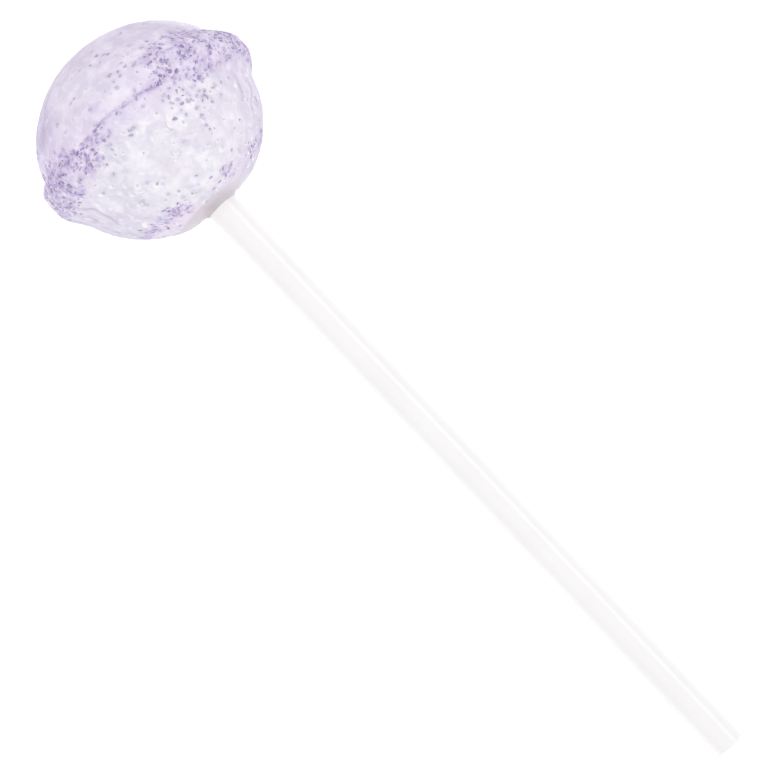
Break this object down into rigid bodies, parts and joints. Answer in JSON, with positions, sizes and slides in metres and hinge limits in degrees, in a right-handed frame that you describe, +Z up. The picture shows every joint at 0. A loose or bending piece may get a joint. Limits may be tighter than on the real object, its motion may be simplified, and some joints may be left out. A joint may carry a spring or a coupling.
{
  "type": "lollipop",
  "caption": "Hard candy ball with an offset moulded belt and violet specks, set on a long straight round white stick, lying on its side.",
  "frame": {"origin": "on the surface it lies on, under the middle of the whole lollipop's box", "axes": "+X along the stick from the candy to the stick's tip, +Z up with the shown face of the candy uppermost, +Y across"},
  "size_m": [0.1418, 0.0384, 0.0372],
  "materials": {
    "hard_candy": "cloudy whitish lavender boiled sugar with violet specks, soft sheen",
    "stick_plastic": "plain white, smooth, slightly glossy"
  },
  "bodies": {
    "root": {"candy": "hard_candy", "stick": "stick_plastic"}
  },
  "joints": []
}
